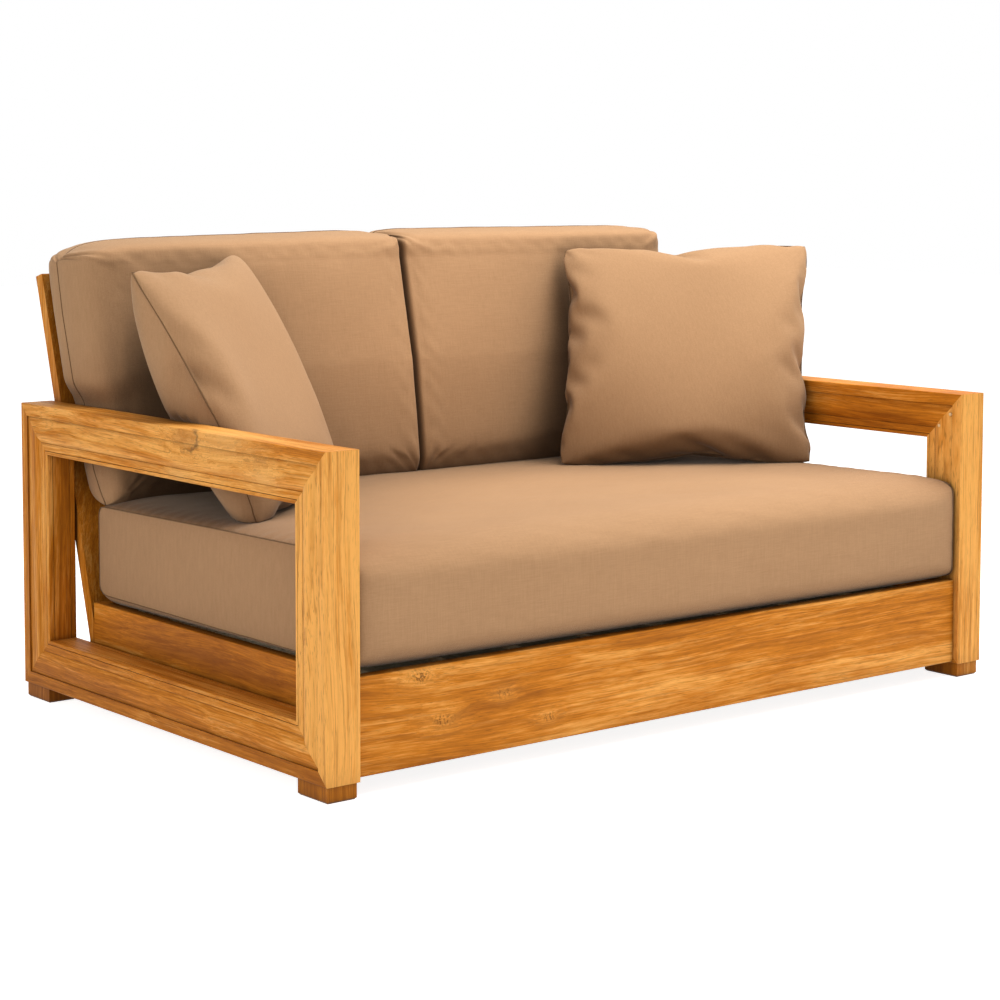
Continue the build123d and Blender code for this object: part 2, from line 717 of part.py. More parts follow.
def back_outline(draw, inset):
    """One upright slice of a back cushion, standing on the seat, leaning on the frame."""
    ahead = back_end_draw * draw + inset
    behind = soft_clearance + back_end_rear_draw * draw + inset
    top = seat_high_seam + back_cushion_height - back_end_top_drop * draw - inset
    toe = (seat_rear_seam - back_toe_forward + ahead, seat_high_seam + back_toe_rise + inset)
    contact = (seat_rear_seam + ahead * back_contact_follow_share,
               seat_high_seam + back_contact_rise + inset)
    bottom = (seat_rear_seam + back_bottom_back + ahead * back_bottom_follow_share,
              seat_high_seam - back_bottom_drop + inset)
    heel_height = seat_high_seam + back_rear_heel_rise
    heel = (rake_front(heel_height) - behind, heel_height)
    shoulder_height = top - back_rear_shoulder_drop
    rear_shoulder = (rake_front(shoulder_height) - behind, shoulder_height)
    front_low = toe[0] - back_front_low_forward
    front_shoulder = (front_low + back_front_lean, top - back_shoulder)
    belly = (front_low + back_front_lean / 2 - back_front_belly, (toe[1] + front_shoulder[1]) / 2)
    crown_top = top - back_crown
    top_front = (front_shoulder[0] + back_shoulder, crown_top)
    top_rear = (rear_shoulder[0] - back_shoulder / 2, crown_top)
    ThreePointArc(toe, belly, front_shoulder)
    TangentArc(top_front, front_shoulder, tangent=(-1, 0))
    ThreePointArc(top_front, ((top_front[0] + top_rear[0]) / 2, top), top_rear)
    TangentArc(rear_shoulder, top_rear, tangent=(rake, 1))
    Line(rear_shoulder, heel)
    TangentArc(heel, bottom, tangent=(-rake, -1))
    ThreePointArc(bottom, contact, toe)


for side_name, side in sides:
    with BuildPart() as back_cushion_cover:
        for inset, mode in ((0, Mode.ADD), (cloth_thickness, Mode.SUBTRACT)):
            for plane, draw in back_slices(side, inset):
                with BuildSketch(plane):
                    with BuildLine():
                        back_outline(draw, inset)
                    make_face()
            loft(ruled=True, mode=mode)
    finish(back_cushion_cover.part, f"{side_name}_back_cushion_cover")

    with BuildPart() as back_cushion_fill:
        inset = cloth_thickness + soft_clearance
        for plane, draw in back_slices(side, inset):
            with BuildSketch(plane):
                with BuildLine():
                    back_outline(draw, inset)
                make_face()
        loft(ruled=True)
    finish(back_cushion_fill.part, f"{side_name}_back_cushion_fill")


# Throw pillows: lens-shaped slices between two upright edges
def pillow_slices(side, inset):
    """Planes and the sizes of a throw pillow's slices, from its outer to its inner edge."""
    turn = radians(pillow_turn)
    lean = radians(pillow_lean)
    across = Vector(-side * cos(turn), sin(turn), 0)
    away = Vector(side * sin(turn), cos(turn), 0)
    upright = away * pillow_height * sin(lean) + Vector(0, 0, pillow_height * cos(lean))
    corner = Vector(side * (arm_inner - pillow_corner_gap), seat_rear_seam - pillow_corner_ahead,
                    seat_high_seam + pillow_base_rise)
    hem = pillow_hem_share if inset else 1
    slices = []
    for span, fill, waist in zip(pillow_span_shares, pillow_fill_shares, pillow_waist_shares):
        origin = corner + across * (pillow_width * (1 / 2 + (span - 1 / 2) * hem))
        plane = Plane(origin=origin, x_dir=upright, z_dir=upright.cross(across.cross(upright)))
        half_thick = max(pillow_thickness * fill, pillow_edge_thickness) / 2 - inset
        half_seam = pillow_seam_thickness / 2 - inset
        slices.append((plane, pillow_height, half_thick, half_seam, pillow_waist * waist + 2 * inset))
    return slices


def pillow_outline(height, half_thick, half_seam, waist):
    """One lens-shaped slice of a throw pillow, from its lower to its upper seam."""
    ThreePointArc((waist, half_seam), (height / 2, half_thick), (height - waist, half_seam))
    Line((height - waist, half_seam), (height - waist, -half_seam))
    ThreePointArc((height - waist, -half_seam), (height / 2, -half_thick), (waist, -half_seam))
    Line((waist, -half_seam), (waist, half_seam))


for side_name, side in sides:
    with BuildPart() as throw_pillow_cover:
        for inset, mode in ((0, Mode.ADD), (pillow_cloth, Mode.SUBTRACT)):
            for plane, *sizes in pillow_slices(side, inset):
                with BuildSketch(plane):
                    with BuildLine():
                        pillow_outline(*sizes)
                    make_face()
            loft(ruled=True, mode=mode)
    finish(throw_pillow_cover.part, f"{side_name}_throw_pillow_cover")

    with BuildPart() as throw_pillow_fill:
        for plane, *sizes in pillow_slices(side, pillow_cloth + soft_clearance):
            with BuildSketch(plane):
                with BuildLine():
                    pillow_outline(*sizes)
                make_face()
        loft(ruled=True)
    finish(throw_pillow_fill.part, f"{side_name}_throw_pillow_fill")
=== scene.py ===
# Looks of the patio loveseat: teak frame, woven cushions, pale studio.
# Lengths are in metres, in the frame's own axes: X across, +Y to the back, +Z up.
import math
import bpy
import numpy as np
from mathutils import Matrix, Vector
from mathutils.bvhtree import BVHTree


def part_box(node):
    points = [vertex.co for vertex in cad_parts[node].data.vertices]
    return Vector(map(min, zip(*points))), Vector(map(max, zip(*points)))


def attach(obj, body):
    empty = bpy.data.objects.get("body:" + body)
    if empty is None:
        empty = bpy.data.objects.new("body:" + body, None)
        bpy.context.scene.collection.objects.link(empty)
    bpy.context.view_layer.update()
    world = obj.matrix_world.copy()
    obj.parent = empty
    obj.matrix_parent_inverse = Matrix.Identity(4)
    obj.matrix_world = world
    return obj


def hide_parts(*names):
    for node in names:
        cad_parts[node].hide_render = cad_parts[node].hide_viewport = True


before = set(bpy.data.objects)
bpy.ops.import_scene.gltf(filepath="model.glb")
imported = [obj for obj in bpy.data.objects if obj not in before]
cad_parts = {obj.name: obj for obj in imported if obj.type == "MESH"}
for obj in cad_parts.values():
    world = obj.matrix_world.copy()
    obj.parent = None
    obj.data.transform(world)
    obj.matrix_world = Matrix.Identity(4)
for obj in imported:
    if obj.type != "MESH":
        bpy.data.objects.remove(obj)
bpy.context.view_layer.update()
SIDES = (("left", -1), ("right", 1))

# Camera at the photograph's viewing angle
CAMERA_PLACE = (-2.810, -3.4418, 0.976)
CAMERA_YAW = 38.325
CAMERA_PITCH = -4.421
CAMERA_LENS = 85.31
CAMERA_SHIFT = (0.0342, -0.150)

# Lamps: name, place, target, size and power
LAMPS = (
    ("key", (0.9, -0.7, 2.8), (0.1, -0.1, 0.3), (2.0, 1.8), 77),
    ("top", (0.2, 0.3, 3.4), (0, 0, 0.4), (3.0, 2.4), 42),
    ("front", (0.1, -3.2, 0.5), (0.1, 0, 0.3), (2.6, 0.8), 19),
    ("corner", (-2.9, -3.0, 1.5), (-0.4, 0, 0.3), (1.8, 1.6), 15),
    ("side", (-3.5, -0.3, 1.1), (-0.6, 0, 0.3), (1.8, 1.4), 32),
)
LAMP_COLOUR = (1, 0.97, 0.92)
ROOM_COLOUR = (1.0, 0.985, 0.96, 1)
ROOM_STRENGTH = 0.20

# Places read from the frame
SEAT_LOW, SEAT_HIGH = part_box("seat_cushion_cover")
BACK_LOW, BACK_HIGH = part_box("left_back_cushion_cover")
ARM_LOW, ARM_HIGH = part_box("right_arm_top_rail")
FRONT = ARM_LOW.y
ARM_INNER = ARM_LOW.x
ARM_OUTER = ARM_HIGH.x

# Colours
TEAK_LIGHT = (0.94, 0.46, 0.11, 1)
TEAK_MIDDLE = (0.63, 0.213, 0.015, 1)
TEAK_DARK = (0.31, 0.090, 0.006, 1)
TEAK_PORE = (0.12, 0.036, 0.005, 1)
TEAK_FLAME = (0.90, 0.52, 0.18, 1)
TEAK_TONES = (TEAK_LIGHT, TEAK_MIDDLE, TEAK_DARK)
RAW_TONES = ((0.90, 0.84, 0.66, 1), (0.80, 0.72, 0.52, 1), (0.60, 0.50, 0.32, 1))
PEG_LIGHT = (0.86, 0.62, 0.34, 1)
CLOTH_LIGHT = (0.52, 0.305, 0.162, 1)
CLOTH_DARK = (0.42, 0.240, 0.122, 1)
PILLOW_LIGHT = (0.485, 0.285, 0.151, 1)
PILLOW_DARK = (0.395, 0.226, 0.115, 1)
# Painted shade of the seams: the cords sewn round the cushions and pillows take this dark colour.
SEAM_SHADE = (0.21, 0.115, 0.055, 1)
STEEL = (0.56, 0.56, 0.55, 1)


class Graph:
    """A material's nodes, made and linked in one call each."""

    def __init__(self, name):
        self.material = bpy.data.materials.new(name)
        self.material.use_nodes = True
        self.tree = self.material.node_tree
        self.tree.nodes.clear()
        self.shader = self.node("ShaderNodeBsdfPrincipled")
        self.output = self.node("ShaderNodeOutputMaterial", {"Surface": self.shader.outputs[0]})

    def fill(self, node, inputs):
        """Links or sets a node's inputs."""
        for key, value in inputs.items():
            if isinstance(value, bpy.types.NodeSocket):
                self.tree.links.new(value, node.inputs[key])
            else:
                node.inputs[key].default_value = value

    def node(self, kind, inputs=None, **settings):
        made = self.tree.nodes.new(kind)
        for key, value in settings.items():
            setattr(made, key, value)
        self.fill(made, inputs or {})
        return made

    def place(self):
        return self.node("ShaderNodeTexCoord").outputs["Object"]

    def math(self, operation, *values):
        return self.node("ShaderNodeMath", dict(enumerate(values)), operation=operation).outputs[0]

    def vector(self, operation, *values):
        return self.node("ShaderNodeVectorMath", dict(enumerate(values)), operation=operation).outputs[0]

    def length(self, vector):
        return self.node("ShaderNodeVectorMath", {0: vector}, operation="LENGTH").outputs["Value"]

    def split(self, vector):
        return self.node("ShaderNodeSeparateXYZ", {0: vector}).outputs

    def joined(self, parts):
        return self.node("ShaderNodeCombineXYZ", parts).outputs[0]

    def weighted(self, *terms):
        """The sum of values, each times its share."""
        total = None
        for value, share in terms:
            part = self.math("MULTIPLY", value, share)
            total = part if total is None else self.math("ADD", total, part)
        return total

    def mix(self, factor, a, b):
        return self.node("ShaderNodeMix", {0: factor, 6: a, 7: b}, data_type="RGBA").outputs[2]

    def noise(self, vector, scale, detail=2.0, roughness=0.5):
        inputs = {"Vector": vector, "Scale": scale, "Detail": detail, "Roughness": roughness}
        return self.node("ShaderNodeTexNoise", inputs).outputs[0]

    def range(self, value, low, high, to_low=0.0, to_high=1.0):
        inputs = {0: value, 1: low, 2: high, 3: to_low, 4: to_high}
        return self.node("ShaderNodeMapRange", inputs).outputs[0]

    def ramp(self, factor, stops):
        made = self.node("ShaderNodeValToRGB", {0: factor})
        ramp = made.color_ramp
        while len(ramp.elements) < len(stops):
            ramp.elements.new(0.5)
        for element, (place, colour) in zip(ramp.elements, stops):
            element.position = place
            element.color = colour
        return made.outputs[0]

    def bump(self, height, distance, strength):
        inputs = {"Height": height, "Distance": distance, "Strength": strength}
        return self.node("ShaderNodeBump", inputs).outputs[0]


def painted_corner_shade(g, reach, floor):
    """Painted shade: how far a spot lies open to the room, from a floor value in tight corners up to 1,
    as a share to darken a colour by.
    """
    open_share = g.node("ShaderNodeAmbientOcclusion", {"Distance": reach}, samples=6).outputs["AO"]
    return g.range(open_share, 0.25, 1.0, floor, 1.0)


def scaled(g, colour, share):
    """A colour multiplied by a share between 0 and 1."""
    return g.vector("MULTIPLY", colour, g.joined({0: share, 1: share, 2: share}))


def dimmed(colour, share):
    """A fixed colour multiplied by a fixed share."""
    return tuple(share * part for part in colour[:3]) + (1,)


# Teak
# How a member's own grain direction is turned onto the texture's X axis
GRAIN_TURNS = {"x": (0, 0, 0), "y": (0, 0, -math.pi / 2), "z": (0, math.pi / 2, 0)}
# How much a board's grain sways across, and into, the board
GRAIN_SWAY = 0.050
GRAIN_DRIFT = 0.06
RINGS_PER_METRE = 74.0
# Noise layers: stretch along the grain, scale, detail and roughness
FIGURE = (0.20, 12.0, 4.0, 0.55)
STREAK = (0.030, 115.0, 4.0, 0.65)
FIBRE = (0.02, 420.0, 3.0, 0.7)
FLECK = (0.12, 190.0, 2.0, 0.6)
THIN_LINE = (0.025, 250.0, 1.0, 0.5)
PORE = (0.05, 900.0, 1.0, 0.5)
# The layers' sum at which a board of middle tone is palest and deepest
BOARD_PALE = 0.93
BOARD_DEEP = 1.52
# Strength of the growth lines, the thin lines and the pores
GROWTH_LINES = 0.50
PALE_BOARD_FADE = 0.8
THIN_LINES = 0.40
PORES = 0.40
# Painted shade in creases: how far apart their walls stand, and how much light is left in them
WIDE_CREASE_SHADE = (0.06, 0.55)
TIGHT_CREASE_SHADE = (0.010, 0.50)
BOARD_RELIEF = 0.00035
# Marks in the wood are drawn out along the grain
MARK_SQUEEZES = {"x": (0.5, 1, 1), "y": (1, 0.5, 1), "z": (1, 1, 0.5)}
MARK_REACH = 3.5
KNOT_GLOW = 0.30
KNOT_CORE = 0.85
FLAME_GLOW = 0.55
HOOK_SHADE = 0.36
HOOK_LINE = 0.90


def centred(g, noise, span):
    """A noise moved to lie evenly about zero, over a span."""
    return g.math("MULTIPLY", g.math("SUBTRACT", noise, 0.5), span)


def grain_noise(g, place, layer):
    """One noise layer, drawn out along the grain."""
    stretch, scale, detail, roughness = layer
    return g.noise(g.vector("MULTIPLY", place, (stretch, 1, 1)), scale, detail, roughness)


def board_place(g, place, along, seed):
    """A point's place in the swaying grain, and its distance from the tree's heart."""
    shift = (0.37 * seed, 0.043 * math.sin(seed * 2.3), 0.031 * math.cos(seed * 1.7))
    turn = {"Vector": place, "Rotation": GRAIN_TURNS[along], "Location": shift}
    turned = g.node("ShaderNodeMapping", turn).outputs[0]
    broad = g.vector("MULTIPLY", turned, (0.25, 1, 1))
    sway = centred(g, g.noise(broad, 6.0, 3.0), GRAIN_SWAY)
    drift = centred(g, g.noise(g.vector("ADD", broad, (3.1, 1.7, 5.3)), 5.0), GRAIN_DRIFT)
    bent = g.vector("ADD", turned, g.joined({1: sway, 2: drift}))
    parts = g.split(bent)
    across = g.math("ADD", parts[1], 0.03 + 0.02 * math.sin(seed * 3.1))
    depth = g.math("ADD", parts[2], 0.11 + 0.03 * math.cos(seed * 1.9))
    return bent, g.math("SQRT", g.weighted((across, across), (depth, depth)))


def bend_round_marks(g, place, marks, radius, squeeze):
    """Grain that swells round each mark, and the share of each mark at a point."""
    shares = []
    for spot, size, kind in marks:
        away = g.length(g.vector("MULTIPLY", g.vector("SUBTRACT", place, spot), squeeze))
        away = g.math("ADD", away, centred(g, g.noise(place, 60.0, 3.0), size * 1.1))
        near = g.range(away, size * MARK_REACH, 0.0)
        near = g.math("MULTIPLY", near, near)
        radius = g.math("ADD", radius, g.math("MULTIPLY", near, size * 0.9))
        shares.append((spot, away, near, size, kind))
    return radius, shares


def paint_knot(g, colour, away, near, size, speckle):
    """A pale glow round a speckled dark core."""
    colour = g.mix(g.math("MULTIPLY", near, KNOT_GLOW), colour, TEAK_LIGHT)
    core = g.math("MULTIPLY", g.range(away, size * 1.1, size * 0.3), g.range(speckle, 0.47, 0.60))
    return g.mix(g.math("MULTIPLY", core, KNOT_CORE), colour, TEAK_PORE)


def paint_hook(g, colour, away, size, place, spot):
    """A shaded patch with a dark line round its front half."""
    inside = g.math("MULTIPLY", g.range(away, size * 1.3, size * 0.5), HOOK_SHADE)
    colour = g.mix(inside, colour, TEAK_DARK)
    edge = g.math("ABSOLUTE", g.math("SUBTRACT", away, size))
    ahead = g.split(g.vector("SUBTRACT", place, spot))[1]
    line = g.math("MULTIPLY", g.range(edge, size * 0.22, 0.0), g.range(ahead, size * 0.4, -size * 0.8))
    return g.mix(g.math("MULTIPLY", line, HOOK_LINE), colour, TEAK_PORE)


def paint_marks(g, place, colour, shares):
    """Knots, pale flames and dark hooks at the marked spots."""
    speckle = g.noise(place, 260.0, 3.0, 0.6)
    for spot, away, near, size, kind in shares:
        if kind == "knot":
            colour = paint_knot(g, colour, away, near, size, speckle)
        elif kind == "flame":
            colour = g.mix(g.math("MULTIPLY", near, FLAME_GLOW), colour, TEAK_FLAME)
        else:
            colour = paint_hook(g, colour, away, size, place, spot)
    return colour


def teak(name, along, seed, tone, marks, tones, paints_corner_shade):
    """Teak whose figure, fibres, growth lines and pores run along one axis."""
    g = Graph(name)
    pale, middle, dark = tones
    place = g.place()
    bent, radius = board_place(g, place, along, seed)
    radius, shares = bend_round_marks(g, place, marks, radius, MARK_SQUEEZES[along])
    bent = g.vector("ADD", bent, g.joined({1: radius}))
    figure = grain_noise(g, bent, FIGURE)
    streak = grain_noise(g, bent, STREAK)
    fibre = grain_noise(g, bent, FIBRE)
    fleck = grain_noise(g, bent, FLECK)
    body = g.weighted((figure, 0.92), (streak, 0.66), (fibre, 0.50), (fleck, 0.32))
    body = g.range(body, BOARD_PALE - tone, BOARD_DEEP - tone)
    colour = g.ramp(body, ((0.0, pale), (0.48, middle), (1.0, dark)))
    ring = g.math("FRACT", g.weighted((radius, RINGS_PER_METRE), (streak, 0.5)))
    late = g.math("MULTIPLY", g.range(ring, 0.52, 0.93), g.range(ring, 1.0, 0.95))
    strength = GROWTH_LINES + PALE_BOARD_FADE * min(tone, 0)
    line = g.math("MULTIPLY", late, g.range(figure, 0.38, 0.60, 0.06, strength))
    colour = g.mix(line, colour, dark)
    thin = g.range(grain_noise(g, bent, THIN_LINE), 0.58, 0.68, 0.0, THIN_LINES)
    colour = g.mix(thin, colour, dark)
    pore = g.range(grain_noise(g, bent, PORE), 0.60, 0.72, 0.0, PORES)
    colour = g.mix(pore, colour, TEAK_PORE)
    if shares:
        colour = paint_marks(g, place, colour, shares)
    # Painted shade: the teak's colour darkens in wide and tight creases and corners, by how closed in
    # each spot is.
    if paints_corner_shade:
        colour = scaled(g, colour, g.math("MULTIPLY", painted_corner_shade(g, *WIDE_CREASE_SHADE), painted_corner_shade(g, *TIGHT_CREASE_SHADE)))
    height = g.weighted((fibre, 0.6), (pore, -1.2), (late, -0.25))
    g.fill(g.shader, {
        "Base Color": colour,
        "Roughness": g.range(streak, 0.2, 0.8, 0.42, 0.58),
        "Normal": g.bump(height, BOARD_RELIEF, 0.5),
        "Specular IOR Level": 0.11,
    })
    return g.material


# Canvas
THREAD_PITCH = 0.0011
SLUB_SCALE = 520.0
# Reach of the painted shade in the folds, and how much light is left there
CLOTH_FOLD_SHADE = (0.30, 0.27)
CLOTH_RELIEF = 0.00022


def woven(name, light, dark):
    """Solution-dyed canvas: a fine plain weave with slubs along both threads."""
    g = Graph(name)
    place = g.place()
    normal = g.node("ShaderNodeNewGeometry").outputs["Normal"]
    facing = g.split(g.vector("ABSOLUTE", normal))
    parts = g.split(place)
    weave = None
    for axis in range(3):
        thread = g.math("SINE", g.math("MULTIPLY", parts[axis], 2 * math.pi / THREAD_PITCH))
        shown = g.math("MULTIPLY", thread, g.math("SUBTRACT", 1.0, facing[axis]))
        weave = shown if weave is None else g.math("ADD", weave, shown)
    weft = g.noise(g.vector("MULTIPLY", place, (0.06, 1, 1)), SLUB_SCALE, 2.0, 0.6)
    warp = g.noise(g.vector("MULTIPLY", place, (1, 0.3, 0.06)), SLUB_SCALE, 2.0, 0.6)
    patch = g.noise(place, 5.0, 2.0)
    tint = g.weighted((weft, 0.9), (warp, 0.9), (weave, 0.045), (patch, 0.35))
    colour = g.ramp(g.range(tint, 0.62, 1.53), ((0.0, dark), (1.0, light)))
    height = g.math("ADD", g.math("MULTIPLY", weave, 0.25), g.math("ADD", weft, warp))
    # Painted shade: the canvas colour darkens in folds and corners, by how closed in each spot is.
    g.fill(g.shader, {
        "Base Color": scaled(g, colour, painted_corner_shade(g, *CLOTH_FOLD_SHADE)),
        "Normal": g.bump(height, CLOTH_RELIEF, 0.6),
        "Roughness": 0.86,
        "Specular IOR Level": 0.12,
        "Sheen Weight": 0.18,
        "Sheen Roughness": 0.45,
        "Sheen Tint": (1.0, 0.90, 0.78, 1),
    })
    return g.material


# Steel and peg ends
def steel(name):
    """Satin stainless steel with faint turning marks."""
    g = Graph(name)
    marks = g.noise(g.place(), 900.0, 2.0)
    g.fill(g.shader, {
        "Base Color": g.mix(marks, STEEL, dimmed(STEEL, 0.8)),
        "Roughness": g.range(marks, 0.3, 0.7, 0.28, 0.42),
        "Metallic": 1.0,
    })
    return g.material


def end_grain(name, colour):
    """The end grain of a peg, with its pores as fine dots."""
    g = Graph(name)
    dots = g.range(g.noise(g.place(), 1400.0, 2.0), 0.45, 0.7)
    g.fill(g.shader, {"Base Color": g.mix(dots, colour, dimmed(colour, 0.72)), "Roughness": 0.6})
    return g.material


# Mesh helpers
CORD_SIDES = 6
SEAM_RADIUS = 0.0011
WAVE_COUNT = 7


def piece_from(name, points, faces, material):
    """A smooth-shaded mesh object that rides on the one body."""
    mesh = bpy.data.meshes.new(name)
    mesh.from_pydata([tuple(p) for p in points], [], faces)
    mesh.validate()
    mesh.polygons.foreach_set("use_smooth", [True] * len(mesh.polygons))
    mesh.materials.append(material)
    piece = bpy.data.objects.new(name, mesh)
    bpy.context.scene.collection.objects.link(piece)
    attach(piece, "root")
    return piece


def rows_of(mesh, kind):
    """A mesh's vertex places ("co") or normals ("normal"), one row each."""
    found = np.empty(len(mesh.vertices) * 3)
    mesh.vertices.foreach_get(kind, found)
    return found.reshape(-1, 3)


def set_points(mesh, points):
    mesh.vertices.foreach_set("co", np.asarray(points, float).ravel())
    mesh.update()


def inflate(piece, pressure, growth, frames, cap, stiffness=18.0, bending=0.4, pins=None):
    """Blows up a closed cloth skin and keeps each point within a cap of where it was."""
    start = rows_of(piece.data, "co")
    cloth = piece.modifiers.new("Cloth", "CLOTH")
    settings = cloth.settings
    settings.quality = 7
    settings.mass = 0.25
    settings.air_damping = 1.5
    settings.tension_stiffness = stiffness
    settings.compression_stiffness = stiffness
    settings.shear_stiffness = stiffness * 0.4
    settings.bending_stiffness = bending
    settings.use_pressure = True
    settings.uniform_pressure_force = pressure
    settings.shrink_min = -growth
    settings.effector_weights.gravity = 0
    if pins is not None:
        group = piece.vertex_groups.new(name="pins")
        group.add([int(i) for i in pins], 1.0, "REPLACE")
        settings.vertex_group_mass = "pins"
    cloth.point_cache.frame_start = 1
    cloth.point_cache.frame_end = frames
    scene = bpy.context.scene
    for step in range(1, frames + 1):
        scene.frame_set(step)
    shown = piece.evaluated_get(bpy.context.evaluated_depsgraph_get())
    moved = rows_of(shown.data, "co") - start
    piece.modifiers.remove(cloth)
    if pins is not None:
        piece.vertex_groups.remove(group)
    scene.frame_set(1)
    length = np.linalg.norm(moved, axis=1, keepdims=True)
    moved *= np.minimum(1.0, cap / np.maximum(length, 1e-9))
    set_points(piece.data, start + moved)


def waves(points, seed, size):
    """Smooth repeatable waves of about 1 either way, a few crests across the given size."""
    draw = np.random.default_rng(seed)
    total = np.zeros(len(points))
    for _ in range(WAVE_COUNT):
        way = draw.normal(size=3)
        way *= draw.uniform(0.6, 1.6) * 2 * math.pi / (size * np.linalg.norm(way))
        total += np.sin(points @ way + draw.uniform(0, 2 * math.pi))
    return total / 4.0


def smooth_step(value, low, high):
    """0 below the low value, 1 above the high one, and a smooth rise between."""
    t = np.clip((value - low) / (high - low), 0.0, 1.0)
    return t * t * (3 - 2 * t)


def subdivide(piece):
    modifier = piece.modifiers.new("Subdivision", "SUBSURF")
    modifier.levels = 1
    modifier.render_levels = 1


def unit_rows(rows):
    return rows / np.maximum(np.linalg.norm(rows, axis=1, keepdims=True), 1e-9)


def seam_cord(name, loop, material):
    """A sewn edge: a thin closed tube along a loop of points."""
    ahead = unit_rows(np.roll(loop, -1, 0) - np.roll(loop, 1, 0))
    side = unit_rows(np.cross(ahead, (0.0, 0.8, 0.6)))
    up = np.cross(ahead, side)
    rings = []
    for k in range(CORD_SIDES):
        angle = 2 * math.pi * k / CORD_SIDES
        rings.append(loop + SEAM_RADIUS * (math.cos(angle) * side + math.sin(angle) * up))
    points = np.stack(rings, 1).reshape(-1, 3)
    faces = []
    for i in range(len(loop)):
        here = i * CORD_SIDES
        there = (i + 1) % len(loop) * CORD_SIDES
        for k in range(CORD_SIDES):
            m = (k + 1) % CORD_SIDES
            faces.append((here + k, there + k, there + m, here + m))
    return piece_from(name, points, faces, material)


def tree_of(piece):
    """A piece's faces, ready for rays to be cast at them."""
    return BVHTree.FromPolygons([tuple(v.co) for v in piece.data.vertices],
                                [tuple(p.vertices) for p in piece.data.polygons])


# Two-panel cushions: a front and a rear sheet that share one seam
def two_panels(count_u, count_v):
    """Grid parameters, faces and seam of two sheets sewn together round their edge."""
    s = np.sin(np.linspace(-1, 1, count_u) * math.pi / 2)
    t = np.sin(np.linspace(-1, 1, count_v) * math.pi / 2)
    u, v = np.meshgrid(s, t, indexing="ij")
    index = np.arange(count_u * count_v).reshape(count_u, count_v)
    inner = np.zeros((count_u, count_v), bool)
    inner[1:-1, 1:-1] = True
    rear_index = index.copy()
    rear_index[inner] = count_u * count_v + np.arange(inner.sum())
    params = np.concatenate([np.stack([u.ravel(), v.ravel(), np.ones(u.size)], 1),
                             np.stack([u[inner], v[inner], -np.ones(inner.sum())], 1)])
    seam = np.zeros(len(params), bool)
    seam[:u.size] = ~inner.ravel()
    params[seam, 2] = 0
    faces = []
    for i in range(count_u - 1):
        for j in range(count_v - 1):
            a, b, c, d = (i, j), (i + 1, j), (i + 1, j + 1), (i, j + 1)
            faces.append(tuple(int(index[k]) for k in (a, b, c, d)))
            faces.append(tuple(int(rear_index[k]) for k in (d, c, b, a)))
    return params, faces, seam


def panel_loop(count_u, count_v):
    """The seam's points in order round a two-panel piece."""
    index = np.arange(count_u * count_v).reshape(count_u, count_v)
    return np.concatenate([index[:-1, 0], index[-1, :-1], index[:0:-1, -1], index[0, :0:-1]])


# Seat cushion: a wrapped panel with a rolled front edge, and a panel sewn in at each end
SEAT_ROUND = 230
SEAT_STATIONS = 150
SEAT_CAP_RINGS = 14
SEAT_CAP_BULGE = 0.0035
# The front lip's rise off the apron at the left end, in the middle and at the right end
SEAT_LIPS = (0.021, 0.017, 0.014)
SEAT_LIP_DEPTH = 0.20
SEAT_REST_GAP = 0.0006
SEAT_REAR_DIP = 0.010
# How far the section shrinks at the ends: at the front, the rear, the bottom, the lower rear and the top
END_FRONT_IN = 0.009
END_REAR_IN = 0.006
END_BOTTOM_UP = 0.007
END_LOWER_REAR_UP = 0.023
END_TOP_DOWN = 0.0155
SEAM_LIFT = 0.0012
SEAT_SWELL_HEIGHT = 0.0016
SEAT_RIPPLE_HEIGHT = 0.0005
PUCKER_HEIGHT = 0.0006
PUCKER_SPACING = 0.034


def corner_arc(centre, reach, start, count=24):
    """A quarter of an ellipse in the YZ plane, turning clockwise seen from +X."""
    angles = np.linspace(start, start - math.pi / 2, count)
    return np.stack([centre[0] + reach[0] * np.cos(angles), centre[1] + reach[1] * np.sin(angles)], 1)


